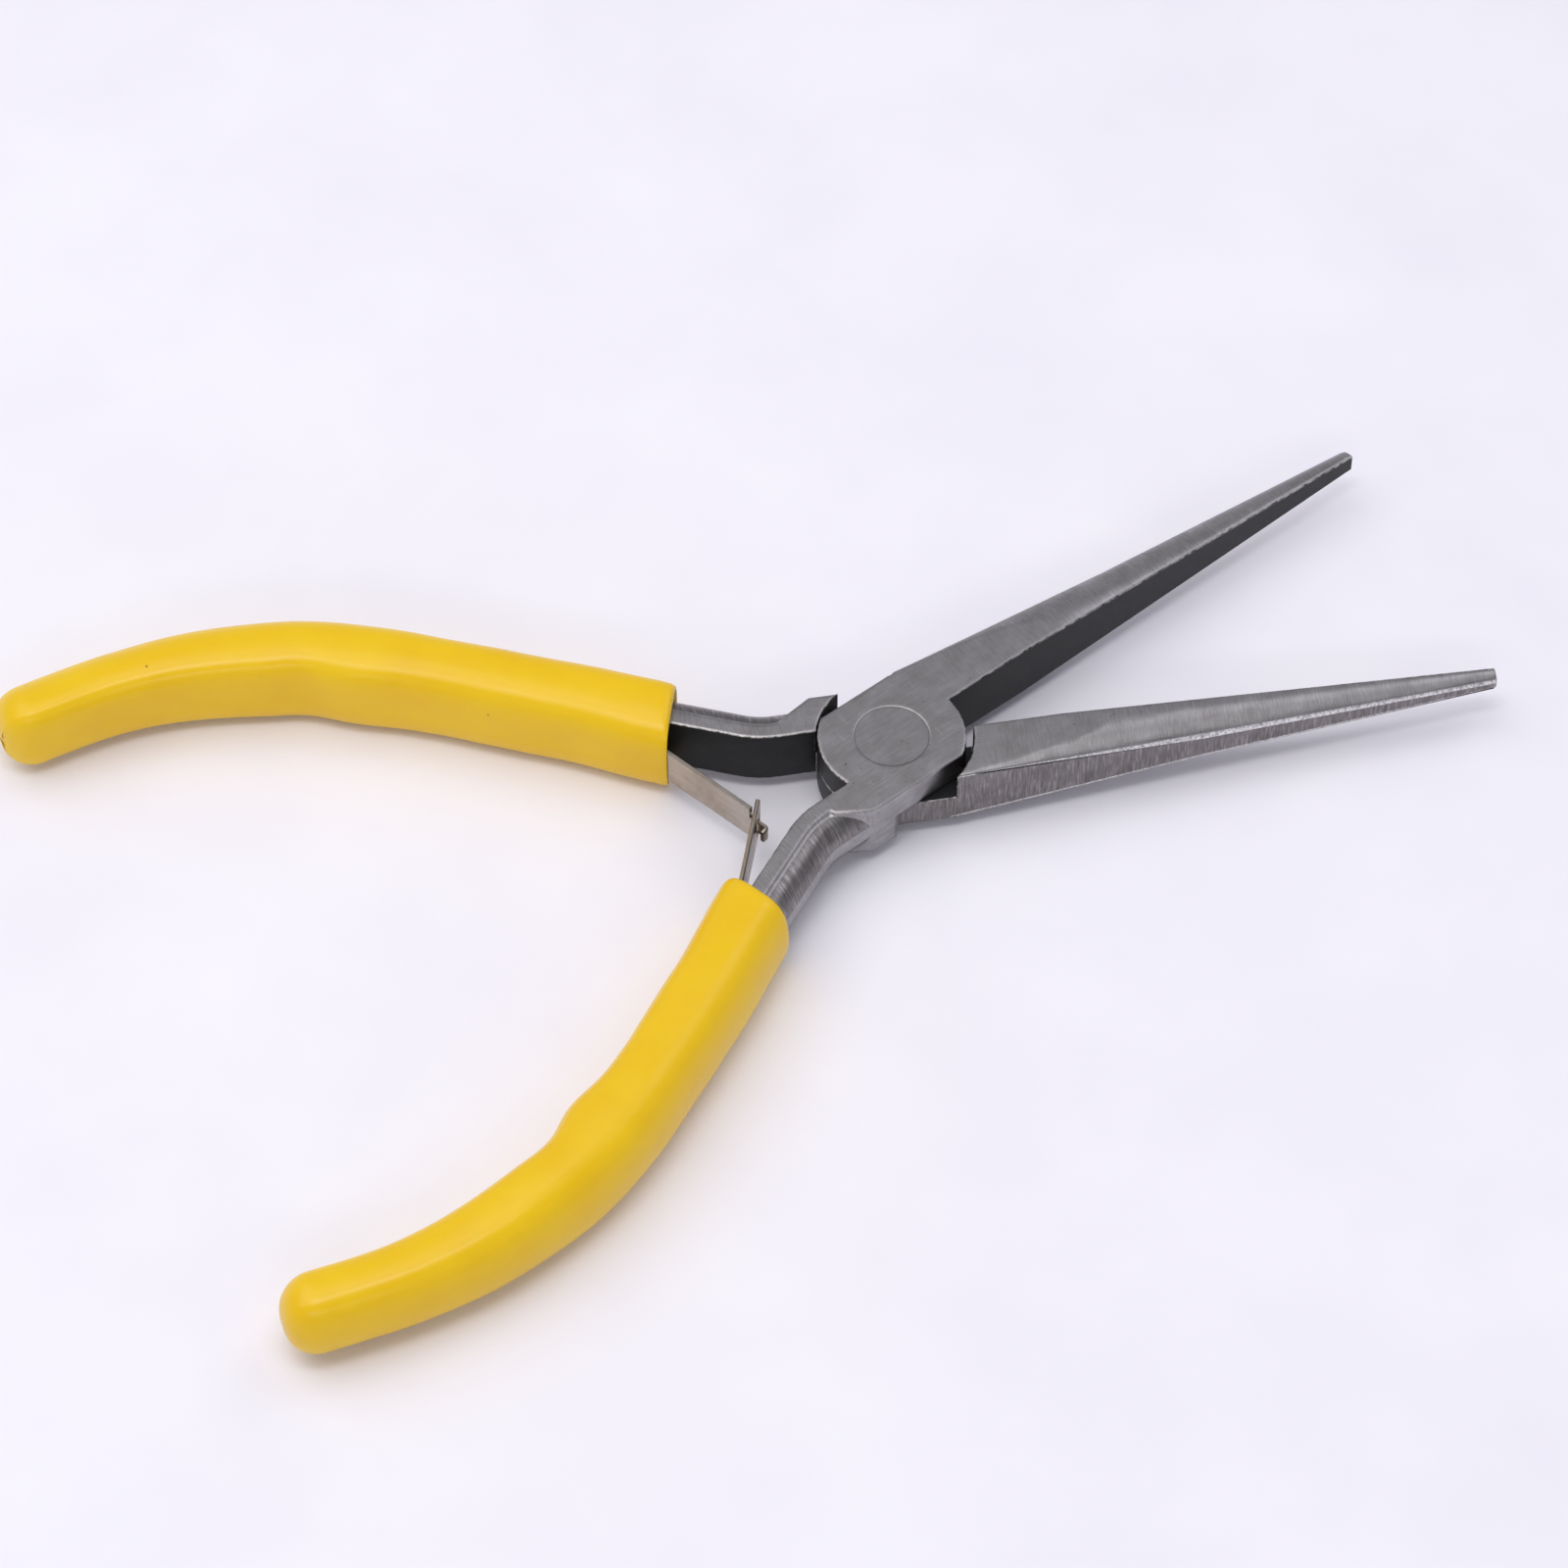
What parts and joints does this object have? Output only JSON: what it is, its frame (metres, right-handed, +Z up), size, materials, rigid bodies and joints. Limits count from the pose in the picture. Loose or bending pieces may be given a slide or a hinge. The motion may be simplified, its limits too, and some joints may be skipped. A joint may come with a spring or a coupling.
{
  "type": "needle nose pliers",
  "caption": "Small needle nose pliers with slim tapered jaws, a riveted lap joint, crossed leaf springs that hold them open, and curved handles in dipped-look vinyl sleeves.",
  "frame": {"origin": "on the pivot rivet's axis, in the lap joint's flat underside", "axes": "+X midway between the two jaws towards their tips, +Y towards the upper half's jaw, +Z up along the rivet"},
  "size_m": [0.1396, 0.0846, 0.0097],
  "materials": {
    "ground_steel": "ground and brushed carbon steel, black oxide left on the unground sides",
    "rivet_steel": "flush ground rivet",
    "spring_steel": "nickel plated spring steel strip",
    "yellow_vinyl": "smooth glossy plasticised PVC"
  },
  "bodies": {
    "upper_half": {"upper_half": "ground_steel", "pivot_rivet": "rivet_steel", "spring_rivet_upper": "rivet_steel", "grip_upper": "yellow_vinyl"},
    "lower_half": {"lower_half": "ground_steel", "spring_rivet_lower": "rivet_steel", "grip_lower": "yellow_vinyl"},
    "slotted_leaf": {"leaf_spring_slotted": "spring_steel"},
    "hooked_leaf": {"leaf_spring_hooked": "spring_steel"}
  },
  "joints": [
    {"name": "jaw_pivot", "type": "hinge", "parent": "upper_half", "child": "lower_half", "pos_m": [0, 0, 0], "axis": [0, 0, 1], "range_deg": [-6, 28.8], "stiffness_Nm_per_rad": 1.2, "deforming": ["leaf_spring_slotted", "leaf_spring_hooked"]},
    {"name": "slotted_leaf_flex", "type": "hinge", "parent": "upper_half", "child": "slotted_leaf", "pos_m": [-0.02281, -0.01321, 0.00325], "axis": [0, 0, 1], "range_deg": [-19.5, 4.2]},
    {"name": "hooked_leaf_flex", "type": "hinge", "parent": "lower_half", "child": "hooked_leaf", "pos_m": [-0.02281, 0.01321, 0.00325], "axis": [0, 0, 1], "range_deg": [-3.4, 15]}
  ],
  "couplings": [
    {"joint": "slotted_leaf_flex", "follows": "jaw_pivot", "ratio": -0.64},
    {"joint": "hooked_leaf_flex", "follows": "jaw_pivot", "ratio": 0.49}
  ]
}
